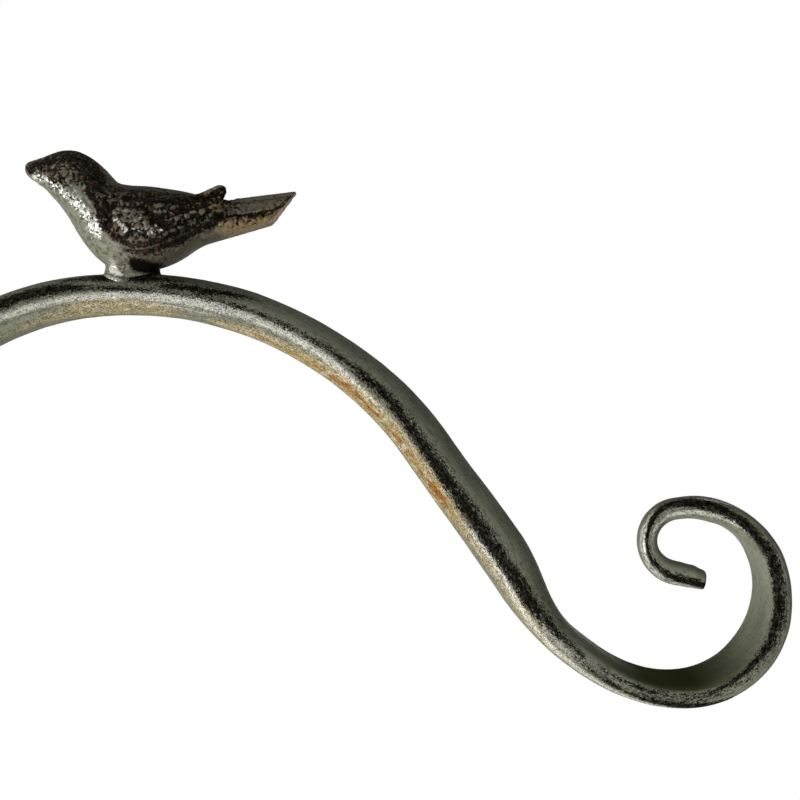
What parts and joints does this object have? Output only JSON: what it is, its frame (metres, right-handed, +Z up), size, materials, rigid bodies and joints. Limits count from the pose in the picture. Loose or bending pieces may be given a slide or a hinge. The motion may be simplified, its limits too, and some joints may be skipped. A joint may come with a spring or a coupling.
{
  "type": "garden lantern stake",
  "caption": "Garden stake: a round-bar pole in push-together sections with a foot step and two points, topped by an arched crook with a small cast bird and a scroll that holds a lantern.",
  "frame": {"origin": "on the axis of the pole, at ground level, where the underside of the step meets the soil", "axes": "+Z up the pole, +X from the pole towards the scroll and the step, the crook lies in the XZ plane"},
  "size_m": [0.2497, 0.0254, 1.4252],
  "materials": {
    "painted_bar": "sage-grey paint rubbed through to black along the front, with pale speckle and rust-coloured mottling",
    "painted_sleeve": "the same paint, worn dark at the rims",
    "painted_fillet": "painted over with the bar, slightly rippled",
    "cast_bird": "cast, painted sage grey over black, dry-brushed with silver and ochre",
    "bright_pin": "bright drawn steel with light turning marks"
  },
  "bodies": {
    "ground_stake": {"stake_bar": "painted_bar", "step_bar": "painted_bar", "step_weld": "painted_fillet", "lower_sleeve": "painted_sleeve", "lower_sleeve_braze": "painted_fillet"},
    "lower_spigot": {"lower_spigot": "bright_pin"},
    "middle_pole": {"middle_bar": "painted_bar", "upper_sleeve": "painted_sleeve", "upper_sleeve_braze": "painted_fillet"},
    "upper_spigot": {"upper_spigot": "bright_pin"},
    "crook": {"crook_bar": "painted_bar", "bird": "cast_bird", "bird_peg": "bright_pin", "bird_braze": "painted_fillet"}
  },
  "joints": [
    {"name": "middle_pole_lift", "type": "slide", "parent": "ground_stake", "child": "lower_spigot", "axis": [0, 0, 1], "range_m": [0, 0.045]},
    {"name": "middle_pole_turn", "type": "hinge", "parent": "lower_spigot", "child": "middle_pole", "pos_m": [0, 0, 0.4], "axis": [0, 0, 1], "continuous": true},
    {"name": "crook_lift", "type": "slide", "parent": "middle_pole", "child": "upper_spigot", "axis": [0, 0, 1], "range_m": [0, 0.045]},
    {"name": "crook_turn", "type": "hinge", "parent": "upper_spigot", "child": "crook", "pos_m": [0, 0, 0.79], "axis": [0, 0, 1], "continuous": true}
  ]
}
